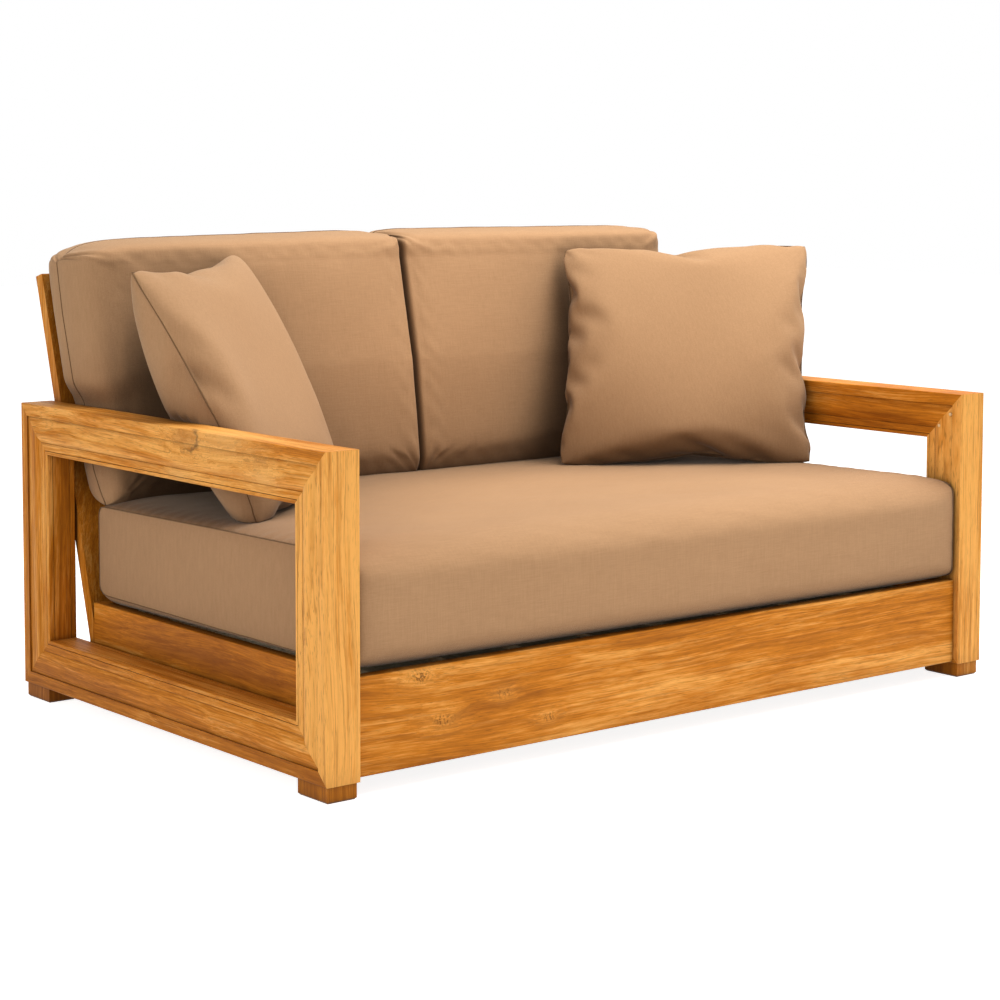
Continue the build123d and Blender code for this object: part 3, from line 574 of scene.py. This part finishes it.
def seat_section(slack, lip):
    """Closed outline of the seat cushion at one station, its front lip lifted off the apron."""
    y0 = SEAT_LOW.y + END_FRONT_IN * slack
    y1 = SEAT_HIGH.y - END_REAR_IN * slack
    z0 = SEAT_LOW.z + SEAT_REST_GAP + END_BOTTOM_UP * slack
    z1 = SEAT_HIGH.z - END_TOP_DOWN * slack
    front_low = (0.058 - 0.038 * slack, 0.044 - 0.028 * slack)
    front_top = (0.100 - 0.076 * slack, 0.062 - 0.040 * slack)
    rear_low = (0.050 - 0.025 * slack, 0.030 - 0.008 * slack)
    rear_top = (0.060 - 0.044 * slack, 0.040 - 0.026 * slack)
    runs = [
        corner_arc((y0 + front_low[0], z0 + front_low[1]), front_low, -math.pi / 2),
        corner_arc((y0 + front_top[0], z1 - front_top[1]), front_top, math.pi),
        corner_arc((y1 - rear_top[0], z1 - rear_top[1]), rear_top, math.pi / 2),
        corner_arc((y1 - rear_low[0], z0 + rear_low[1]), rear_low, 0),
    ]
    outline = np.concatenate(runs + [runs[0][:1]])
    forward = np.clip(1 - (outline[:, 0] - y0) / SEAT_LIP_DEPTH, 0, 1) ** 1.3
    low = np.clip(1 - (outline[:, 1] - z0) / 0.10, 0, 1)
    behind = (outline[:, 0] - y0) / (y1 - y0)
    outline[:, 1] += (lip * forward + END_LOWER_REAR_UP * slack * behind) * low
    upper = smooth_step(outline[:, 1], z0 + 0.08, z1)
    outline[:, 1] -= SEAT_REAR_DIP * smooth_step(behind, 0.45, 0.85) * upper
    steps = np.linalg.norm(np.diff(outline, axis=0), axis=1)
    along = np.concatenate([[0], np.cumsum(steps)])
    wanted = np.linspace(0, along[-1], SEAT_ROUND, endpoint=False)
    return np.stack([np.interp(wanted, along, outline[:, k]) for k in range(2)], 1)


def seat_band(first, second, turned=False):
    """Faces between two rings of the seat cushion, given the number of each ring's first point."""
    faces = []
    for j in range(SEAT_ROUND):
        k = (j + 1) % SEAT_ROUND
        face = (first + j, second + j, second + k, first + k)
        faces.append(face[::-1] if turned else face)
    return faces


def make_seat(material):
    """The seat cushion's closed skin: sections along its length, and a bulging panel at each end."""
    half = SEAT_HIGH.x
    spans = np.sin(np.linspace(-1, 1, SEAT_STATIONS) * math.pi / 2)
    points = []
    for span in spans:
        fullness = (1 - abs(span) ** 18) ** 0.62
        ring = seat_section(1 - fullness, float(np.interp(span, (-1, 0, 1), SEAT_LIPS)))
        points.append(np.column_stack([np.full(len(ring), span * half), ring]))
    faces = []
    for station in range(SEAT_STATIONS - 1):
        faces += seat_band(station * SEAT_ROUND, (station + 1) * SEAT_ROUND)
    count = SEAT_STATIONS * SEAT_ROUND
    for last, side in ((0, -1), (SEAT_STATIONS - 1, 1)):
        edge = points[last]
        middle = edge.mean(0)
        before = last * SEAT_ROUND
        for ring in range(1, SEAT_CAP_RINGS):
            shrink = 1 - ring / SEAT_CAP_RINGS
            loop = middle + (edge - middle) * shrink
            loop[:, 0] = side * (half + SEAT_CAP_BULGE * (1 - shrink ** 6))
            points.append(loop)
            faces += seat_band(before, count, side < 0)
            before = count
            count += SEAT_ROUND
        points.append(np.array([[side * (half + SEAT_CAP_BULGE), middle[1], middle[2]]]))
        for j in range(SEAT_ROUND):
            face = (before + j, before + (j + 1) % SEAT_ROUND, count)
            faces.append(face if side < 0 else face[::-1])
        count += 1
    seat = piece_from("seat_cushion", np.concatenate(points), faces, material)
    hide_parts("seat_cushion_cover", "seat_cushion_core")
    return seat


def finish_seat(seat, seam_material):
    """Soft swells, ripples and puckers on the seat cushion, and a seam round each end."""
    mesh = seat.data
    points = rows_of(mesh, "co")
    normals = rows_of(mesh, "normal")
    half = SEAT_HIGH.x
    ends = np.clip((np.abs(points[:, 0]) / half), 0, 1)
    near_end = smooth_step(np.abs(points[:, 0]), half - 0.10, half - 0.004)
    top = smooth_step(normals[:, 2], 0.2, 0.9)
    front = smooth_step(-normals[:, 1], 0.2, 0.9)
    swell = waves(points * (1.0, 1.6, 1.6), 11, 0.42)
    ripple = waves(points * (1.0, 3.0, 3.0), 12, 0.10)
    lift = SEAT_SWELL_HEIGHT * swell * (top + 0.5 * front) * (1 - near_end)
    lift += SEAT_RIPPLE_HEIGHT * ripple * (top + front)
    puckers = np.sin(points[:, 1] * 2 * math.pi / PUCKER_SPACING + 3 * waves(points, 13, 0.3))
    lift += PUCKER_HEIGHT * puckers * near_end * smooth_step(ends, 0.90, 0.99) * top
    points += normals * lift[:, None]
    for start in (0, (SEAT_STATIONS - 1) * SEAT_ROUND):
        ring = slice(start, start + SEAT_ROUND)
        out = points[ring] - points[ring].mean(0)
        out[:, 0] = 0
        points[ring] += unit_rows(out) * SEAM_LIFT
        seam_cord("seat_cushion_seam", points[ring], seam_material)
    set_points(mesh, points)
    subdivide(seat)


# Back cushions: knife edge with one seam round the sides, gathered at the corners
BACK_COUNTS = (110, 90)
# Places up the cushions: height, and distance behind the arms' front
BACK_FRONT_LINE = ((0.407, 0.750), (0.60, 0.774), (0.800, 0.816))
BACK_REAR_LINE = ((0.407, 0.900), (0.800, 1.0115))
BACK_SEAM_LINE = ((0.370, 0.796), (0.430, 0.832), (0.555, 0.864), (0.710, 0.909), (0.815, 0.932))
BACK_REAR_GAP = 0.0015
BACK_SINK = 0.003
BACK_TOP_GAP = 0.001
# Where the two cushions meet
BACK_JOIN = -0.008
# Rise of each cushion's top at its inner and its outer end
BACK_TOP_ENDS = {-1: (0.008, -0.001), 1: (0.009, 0.006)}
# How far each cushion's outer side swells over the arm, and from which height to which it begins
BACK_SIDE_BULGE = {-1: 0.017, 1: 0.0}
BACK_BULGE_START = (0.545, 0.59)
# How far the corners draw in: sideways, down at the top and up at the bottom
BACK_CORNER_SIDE = 0.004
BACK_CORNER_TOP = 0.007
BACK_CORNER_BOTTOM = 0.003
# How square the front's outer edge is on each cushion, and its inner edge on both
BACK_OUTER_EDGE = {-1: 26, 1: 50}
BACK_INNER_EDGE = 150
# The filling's simulation: the most that a point may move, and how much less at the edges
BACK_FREEDOM = 0.006
BACK_EDGE_HOLD = 0.9
BACK_GATHERS = 13
BACK_GATHER_HEIGHT = 0.0020
BACK_SWELL_HEIGHT = 0.0020
BACK_RIPPLE_HEIGHT = 0.0004
BACK_PULL_HEIGHT = 0.0004
BACK_SEAM_SINK = 0.0012
BACK_CORD_LIFT = 0.0004


def line_at(line, height):
    """How far back a line lies at each height."""
    heights, backs = zip(*line)
    return np.interp(height, heights, backs) + FRONT


def back_heights(u, v, side, left_end, corner):
    """Heights of a back cushion's points: level below, and sloping to its ends on top."""
    z_low, z_high = BACK_LOW.z - BACK_SINK, BACK_HIGH.z - BACK_TOP_GAP
    z_middle, z_half = (z_low + z_high) / 2, (z_high - z_low) / 2
    draw_in = np.where(v > 0, BACK_CORNER_TOP, BACK_CORNER_BOTTOM)
    z = z_middle + z_half * v - np.sign(v) * draw_in * corner
    left_drop = 0.016 * np.abs(u) ** 9 + 0.010 * np.abs(u) ** 24
    drop = np.where(left_end, left_drop, 0.004 * np.abs(u) ** 24)
    z -= drop * (v > 0) * v ** 8
    return z + np.interp(side * u, (-1, 1), BACK_TOP_ENDS[side]) * smooth_step(v, 0.2, 1.0)


def back_depths(u, v, face, side, z):
    """How far back a cushion's points lie, between its front face, its seam and its rear face."""
    outer = side * u > 0
    squareness = np.where(outer, BACK_OUTER_EDGE[side], BACK_INNER_EDGE)
    front_fill = ((1 - np.abs(u) ** squareness) * (1 - np.abs(v) ** np.where(v > 0, 36, 13))) ** 0.42
    rear_fill = ((1 - np.abs(u) ** 20) * (1 - np.abs(v) ** np.where(v > 0, 9, 14))) ** 0.45
    seam_y = line_at(BACK_SEAM_LINE, z)
    front_y = line_at(BACK_FRONT_LINE, z)
    rear_y = line_at(BACK_REAR_LINE, z) - BACK_REAR_GAP
    front_face = seam_y + (front_y - seam_y) * front_fill
    rear_face = seam_y + (rear_y - seam_y) * rear_fill
    return np.where(face >= 0, front_face, rear_face)


def make_back(name, side, material):
    """One back cushion as sewn, before it is filled."""
    params, faces, seam = two_panels(*BACK_COUNTS)
    u, v, face = params.T
    corner = np.abs(u) ** 12 * np.abs(v) ** 12
    inner, end = BACK_JOIN, side * SEAT_HIGH.x
    outer = side * u > 0
    left_end = outer & (side < 0)
    z = back_heights(u, v, side, left_end, corner)
    x = (inner + end) / 2 + abs(end - inner) / 2 * u - np.sign(u) * BACK_CORNER_SIDE * corner
    x += side * BACK_SIDE_BULGE[side] * np.where(outer, u ** 4, 0.0) * smooth_step(z, *BACK_BULGE_START)
    z -= np.where(left_end & (face <= 0), 0.010 * np.abs(u) ** 6, 0.0) * (v > 0) * v ** 10
    y = back_depths(u, v, face, side, z)
    cushion = piece_from(name, np.column_stack([x, y, z]), faces, material)
    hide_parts(f"{name}_cover", f"{name}_fill")
    return cushion, params, seam


def fill_back(cushion, params, seam):
    """Blows up a cushion's front panel, held at its seam and over its rear."""
    reach = np.abs(params[:, :2]).max(1, keepdims=True)
    cap = BACK_FREEDOM * (1 - BACK_EDGE_HOLD * reach ** 6)
    held = np.flatnonzero(seam | (params[:, 2] < 0))
    inflate(cushion, pressure=3.0, growth=0.006, frames=14, cap=cap, pins=held)


def finish_back(cushion, params, seam, seed, seam_material):
    """Gathers at the corners, soft swells and pulls over the faces, and the seam's cord."""
    u, v, face = params.T
    mesh = cushion.data
    points = rows_of(mesh, "co")
    normals = rows_of(mesh, "normal")
    near = np.maximum(smooth_step(np.abs(u), 0.80, 1.0), smooth_step(np.abs(v), 0.76, 1.0))
    angle = np.arctan2(1 - np.abs(v) + 0.02, 1 - np.abs(u) + 0.02)
    gather = np.sin(angle * BACK_GATHERS + seed)
    gather *= smooth_step(np.abs(u), 0.80, 0.98)
    gather *= smooth_step(np.abs(v), 0.80, 0.97)
    lift = BACK_GATHER_HEIGHT * gather * (1 - 0.6 * seam) * np.where(v > 0, 1.0, 0.3)
    lift += BACK_SWELL_HEIGHT * waves(points * (1.0, 1.0, 1.2), seed, 0.40) * (1 - near)
    lift += BACK_RIPPLE_HEIGHT * waves(points, seed + 5, 0.10)
    pulls = np.sin((points[:, 0] + points[:, 2]) * 2 * math.pi / 0.05 + 2 * waves(points, seed + 9, 0.25))
    lift += BACK_PULL_HEIGHT * pulls * near * (1 - near) * 4
    lift = np.where(face < 0, np.minimum(lift, 0.0), lift)
    lift -= BACK_SEAM_SINK * seam
    points += normals * lift[:, None]
    set_points(mesh, points)
    subdivide(cushion)
    ring = panel_loop(*BACK_COUNTS)
    cord = points[ring] + normals[ring] * BACK_CORD_LIFT
    seam_cord(f"{cushion.name}_seam", cord, seam_material)


# Throw pillows: two square sheets blown up, then set between four corners
PILLOW_COUNT = 72
PILLOW_HALF = 0.25
PILLOW_THICKNESS = 0.146
PILLOW_SIDE_CURVE = 0.03
PILLOW_CORNER_IN = 0.010
# The skin's thickness before it is blown up, as a share, and the small waves that start its folds
PILLOW_START = 0.42
PILLOW_START_WAVES = 0.0008
# Corners, behind the arms' front, and how each pillow leans, sags and fills out. Front and rear have
# their thickness times the first number, and bulge further towards the edges as the second falls.
PILLOWS = {
    "left": {"outer_low": (-0.650, 0.362, 0.380), "inner_low": (-0.290, 0.646, 0.387),
             "outer_top": (-0.776, 0.552, 0.797), "inner_top": (-0.418, 0.790, 0.812),
             "set_back": 0.018, "bend": -0.016, "sag": 0.012, "smoothing": 14,
             "front": (1.00, 0.85), "rear": (1.25, 0.66)},
    "right": {"outer_low": (0.657, 0.350, 0.388), "inner_low": (0.256, 0.640, 0.388),
              "outer_top": (0.792, 0.495, 0.809), "inner_top": (0.386, 0.784, 0.803),
              "set_back": 0.0, "bend": 0.0, "sag": 0.0, "smoothing": 3,
              "front": (1.00, 1.00), "rear": (1.00, 1.00)},
}
TOUCH_GAP = 0.001
ARM_GAP = 0.0015


def blow_pillow(material):
    """One square pillow lying in the XZ plane, filled like a fibre pillow."""
    params, faces, seam = two_panels(PILLOW_COUNT, PILLOW_COUNT)
    u, v, face = params.T
    corner = (np.abs(u) * np.abs(v)) ** 6
    x = PILLOW_HALF * u * (1 + PILLOW_SIDE_CURVE * (1 - v ** 2)) - np.sign(u) * PILLOW_CORNER_IN * corner
    z = PILLOW_HALF * v * (1 + PILLOW_SIDE_CURVE * (1 - u ** 2)) - np.sign(v) * PILLOW_CORNER_IN * corner
    bulge = 0.5 * PILLOW_THICKNESS * ((1 - u ** 2) * (1 - v ** 2)) ** 0.5
    start_waves = PILLOW_START_WAVES * waves(np.column_stack([u, v, face]), 21, 0.25)
    bulge = PILLOW_START * bulge + start_waves * (1 - seam)
    points = np.column_stack([x, -face * bulge, z])
    pillow = piece_from("pillow_pattern", points, faces, material)
    inflate(pillow, pressure=1.3, growth=0.0, frames=26, cap=0.2, stiffness=25.0, bending=0.3)
    blown = rows_of(pillow.data, "co")
    pattern = pillow.data
    bpy.data.objects.remove(pillow)
    bpy.data.meshes.remove(pattern)
    blown -= blown[seam].mean(0)
    blown[:, 1] *= PILLOW_THICKNESS / np.ptp(blown[:, 1])
    return blown, params, faces, seam


def drawn_to(points, links, neighbours, free):
    """Moves the free points halfway to the mean of their neighbours."""
    total = np.zeros_like(points)
    np.add.at(total, links[:, 0], points[links[:, 1]])
    points[free] += 0.5 * (total[free] / neighbours[free] - points[free])


def relaxed(blown, faces, seam, turns):
    """The blown skin with its folds eased: the seam along itself, then the whole skin."""
    points = blown.copy()
    links = np.array([(face[k], face[(k + 1) % 4]) for face in faces for k in range(4)])
    on_seam = seam[links[:, 0]] & seam[links[:, 1]]
    sewn = links[on_seam]
    links = links[on_seam | ~seam[links[:, 0]]]
    corner = np.zeros(len(points), bool)
    corner[[0, PILLOW_COUNT - 1, PILLOW_COUNT * (PILLOW_COUNT - 1), PILLOW_COUNT ** 2 - 1]] = True
    neighbours = np.bincount(links[:, 0], minlength=len(points))[:, None]
    for _ in range(8 * turns):
        drawn_to(points, sewn, neighbours, seam & ~corner)
    for _ in range(turns):
        drawn_to(points, links, neighbours, ~corner)
    return points


def thickened(thick, u, v, side, shape):
    """A pillow's thickness with its own filling in front and behind, and its bend."""
    (front_growth, front_power), (rear_growth, rear_power) = shape["front"], shape["rear"]
    deepest = np.abs(thick).max()
    share = np.abs(thick) / deepest
    rear_power = rear_power ** (1 - 0.7 * np.clip(v, -1, 1))
    behind = rear_growth * share ** rear_power
    ahead = -front_growth * share ** front_power
    thick = deepest * np.where(thick > 0, behind, ahead)
    thick += shape["set_back"] * (1 - u ** 2) * (1 - v ** 2)
    thick += shape["bend"] * (1 - v ** 2) * np.clip(side * u, 0, 1) ** 3
    return thick


def set_pillow(blown, params, faces, seam, side_name, side, blockers, material, seam_material):
    """Carries the blown pillow to its four corners on the seat, against its neighbours."""
    shape = PILLOWS[side_name]
    local = relaxed(blown, faces, seam, shape["smoothing"])
    if side < 0:
        local = local[:, [2, 1, 0]] * (1, -1, 1)
    tips = local[seam & (np.abs(params[:, 0] * params[:, 1]) > 0.999)]
    u, thick, v = local.T
    u = u / np.abs(tips[:, 0]).mean()
    v = v / np.abs(tips[:, 2]).mean()
    corners = {key: Vector(value) + Vector((0, FRONT, 0)) for key, value in shape.items()
               if key.startswith(("outer", "inner"))}
    share_outer, share_top = (1 + side * u) / 2, (1 + v) / 2
    low = np.outer(share_outer, corners["outer_low"]) + np.outer(1 - share_outer, corners["inner_low"])
    top = np.outer(share_outer, corners["outer_top"]) + np.outer(1 - share_outer, corners["inner_top"])
    across = (corners["outer_low"] - corners["inner_low"]) * side
    behind = (corners["outer_top"] - corners["outer_low"]).cross(across).normalized()
    thick = thickened(thick, u, v, side, shape)
    points = low * (1 - share_top)[:, None] + top * share_top[:, None] + np.outer(thick, behind)
    points[:, 2] -= shape["sag"] * (1 - np.clip(u, -1, 1) ** 2) * np.clip(v, 0, 1) ** 4
    for blocker in blockers:
        blocker(points)
    name = f"{side_name}_throw_pillow"
    pillow = piece_from(name, points, faces, material)
    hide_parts(f"{name}_cover", f"{name}_fill")
    subdivide(pillow)
    cord = points[panel_loop(PILLOW_COUNT, PILLOW_COUNT)]
    seam_cord(f"{name}_seam", cord, seam_material)


def above(tree, gap):
    """Lifts points that lie under a surface to just above it."""
    def lift(points):
        for point in points:
            hit = tree.ray_cast(Vector((point[0], point[1], 1.0)), Vector((0, 0, -1)))[0]
            if hit is not None and point[2] < hit.z + gap:
                point[2] = hit.z + gap
    return lift


def ahead_of(tree, gap):
    """Brings points that lie behind a surface to just ahead of it."""
    def pull(points):
        for point in points:
            hit = tree.ray_cast(Vector((point[0], -1.0, point[2])), Vector((0, 1, 0)))[0]
            if hit is not None and point[1] > hit.y - gap:
                point[1] = hit.y - gap
    return pull


def inside_arms(points):
    """Keeps points below the arms' tops between the arms."""
    low = points[:, 2] < ARM_HIGH.z + 0.003
    limit = ARM_INNER - ARM_GAP
    points[low, 0] = np.clip(points[low, 0], -limit, limit)


# Wood of the frame
APRON_FACE = FRONT + 0.013
APRON_MARKS = (
    ((-0.579, APRON_FACE, 0.175), 0.014, "knot"),
    ((-0.406, APRON_FACE, 0.123), 0.009, "knot"),
    ((-0.532, APRON_FACE, 0.096), 0.013, "knot"),
    ((-0.312, APRON_FACE, 0.070), 0.009, "knot"),
)
LEFT_ARM_MARKS = (
    ((-ARM_OUTER, -0.110, 0.531), 0.02, "hook"),
    ((-ARM_OUTER, -0.226, 0.543), 0.03, "flame"),
    ((-ARM_OUTER, -0.342, 0.488), 0.012, "flame"),
    ((-ARM_OUTER, -0.084, 0.465), 0.011, "flame"),
)
ALONG_X = ("front_apron", "rear_apron", "front_slat_cleat", "rear_slat_cleat", "centre_bearer",
           "back_top_rail", "back_bottom_rail")
STEEL_NODES = ("arm_bolts", "arm_bolt_washers", "arm_bolt_inserts", "back_post_bolts", "foot_screws",
               "slat_screws", "cleat_screws", "back_post_screws")
# Boards that are paler (below 0) or deeper than the middle tone
TONES = {"left_arm_front_post": -0.30, "right_arm_front_post": -0.24, "left_arm_top_rail": -0.10,
         "left_arm_bottom_rail": 0.04, "left_side_rail": 0.10}
FOOT_TONE = 0.08
FIRST_SEED = 1.0
SEED_STEP = 1.37


def wood_of(name, seed):
    """The teak of one member, with its grain along the member."""
    marks = {"front_apron": APRON_MARKS, "left_arm_top_rail": LEFT_ARM_MARKS}.get(name, ())
    tone = TONES.get(name, FOOT_TONE if name.endswith("foot") else 0.0)
    slat = name.startswith("seat_slat")
    if name in ALONG_X:
        along = "x"
    elif name.endswith("rail") or slat:
        along = "y"
    else:
        along = "z"
    return teak(f"teak_{name}", along, seed, tone, marks, RAW_TONES if slat else TEAK_TONES, not slat)


def dress_frame():
    """Gives every visible piece of the frame its own board of teak, pegs and steel."""
    seed = FIRST_SEED
    for name, node in sorted(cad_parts.items()):
        if name.endswith(("_cover", "_fill", "_core")):
            continue
        seed += SEED_STEP
        if name in STEEL_NODES:
            material = steel(f"steel_{name}")
        elif name == "arm_mitre_pegs":
            material = end_grain("peg_wood", PEG_LIGHT)
        else:
            material = wood_of(name, seed)
        for slot in node.material_slots:
            slot.material = material


# Studio
FLOOR_REACH = 14.0
FLOOR_COLOUR = (0.80, 0.80, 0.80, 1)


def seen_directly(make, link):
    """1 where a ray comes from the camera, a gloss or a glass, given a tree's node and link calls."""
    rays = make("ShaderNodeLightPath")
    seen = rays.outputs["Is Camera Ray"]
    for kind in ("Is Glossy Ray", "Is Transmission Ray"):
        either = make("ShaderNodeMath")
        either.operation = "MAXIMUM"
        link(seen, either.inputs[0])
        link(rays.outputs[kind], either.inputs[1])
        seen = either.outputs[0]
    return seen


def make_floor():
    """A pale floor that looks white from the camera and keeps the object's shadow."""
    mesh = bpy.data.meshes.new("floor")
    corners = [(x * FLOOR_REACH, y * FLOOR_REACH, 0) for x, y in ((-1, -1), (1, -1), (1, 1), (-1, 1))]
    mesh.from_pydata(corners, [], [(0, 1, 2, 3)])
    g = Graph("studio_floor")
    g.fill(g.shader, {"Base Color": FLOOR_COLOUR, "Roughness": 0.9})
    brightness = g.range(g.length(g.place()), 1.2, 3.5, 0.84, 1.0)
    glow = g.node("ShaderNodeEmission", {"Color": (1, 1, 1, 1), "Strength": brightness})
    lit = g.node("ShaderNodeAddShader", {0: g.shader.outputs[0], 1: glow.outputs[0]})
    seen = seen_directly(g.tree.nodes.new, g.tree.links.new)
    both = g.node("ShaderNodeMixShader", {0: seen, 1: g.shader.outputs[0], 2: lit.outputs[0]})
    g.fill(g.output, {"Surface": both.outputs[0]})
    mesh.materials.append(g.material)
    floor = bpy.data.objects.new("floor", mesh)
    bpy.context.scene.collection.objects.link(floor)


def make_world():
    """Soft even light, behind which the camera sees white."""
    world = bpy.data.worlds.new("studio")
    bpy.context.scene.world = world
    world.use_nodes = True
    nodes, links = world.node_tree.nodes, world.node_tree.links
    nodes.clear()
    mix = nodes.new("ShaderNodeMixShader")
    links.new(seen_directly(nodes.new, links.new), mix.inputs[0])
    for entry, colour, strength in ((1, ROOM_COLOUR, ROOM_STRENGTH), (2, (1, 1, 1, 1), 1.0)):
        light = nodes.new("ShaderNodeBackground")
        light.inputs["Color"].default_value = colour
        light.inputs["Strength"].default_value = strength
        links.new(light.outputs[0], mix.inputs[entry])
    out = nodes.new("ShaderNodeOutputWorld")
    links.new(mix.outputs[0], out.inputs["Surface"])


def area_lamp(name, place, target, size, power):
    data = bpy.data.lights.new(name, "AREA")
    data.shape = "RECTANGLE"
    data.size, data.size_y = size
    data.energy = power
    data.color = LAMP_COLOUR
    lamp = bpy.data.objects.new(name, data)
    lamp.location = place
    lamp.rotation_euler = (Vector(target) - Vector(place)).to_track_quat("-Z", "Y").to_euler()
    bpy.context.scene.collection.objects.link(lamp)


def make_camera():
    data = bpy.data.cameras.new("camera")
    data.lens = CAMERA_LENS
    data.shift_x, data.shift_y = CAMERA_SHIFT
    camera = bpy.data.objects.new("camera", data)
    camera.location = CAMERA_PLACE
    camera.rotation_euler = (math.radians(90 + CAMERA_PITCH), 0, math.radians(-CAMERA_YAW))
    bpy.context.scene.collection.objects.link(camera)
    bpy.context.scene.camera = camera


make_camera()
make_floor()
make_world()
for lamp in LAMPS:
    area_lamp(*lamp)
bpy.context.scene.view_settings.view_transform = "Standard"

dress_frame()
cushion_cloth = woven("cushion_canvas", CLOTH_LIGHT, CLOTH_DARK)
pillow_cloth = woven("pillow_canvas", PILLOW_LIGHT, PILLOW_DARK)
# Seam cords: a raised sewn edge, coloured dark as painted shade along the seam.
seam_shade_cloth = woven("seam_shade_canvas", SEAM_SHADE, SEAM_SHADE)

seat = make_seat(cushion_cloth)
finish_seat(seat, seam_shade_cloth)
seat_tree = tree_of(seat)
back_trees = []
for side_name, side in SIDES:
    cushion, params, seam = make_back(f"{side_name}_back_cushion", side, cushion_cloth)
    fill_back(cushion, params, seam)
    finish_back(cushion, params, seam, 40 + side, seam_shade_cloth)
    back_trees.append(tree_of(cushion))
skin = blow_pillow(pillow_cloth)
blockers = [ahead_of(tree, TOUCH_GAP) for tree in back_trees] + [inside_arms, above(seat_tree, TOUCH_GAP)]
for side_name, side in SIDES:
    set_pillow(*skin, side_name, side, blockers, pillow_cloth, seam_shade_cloth)
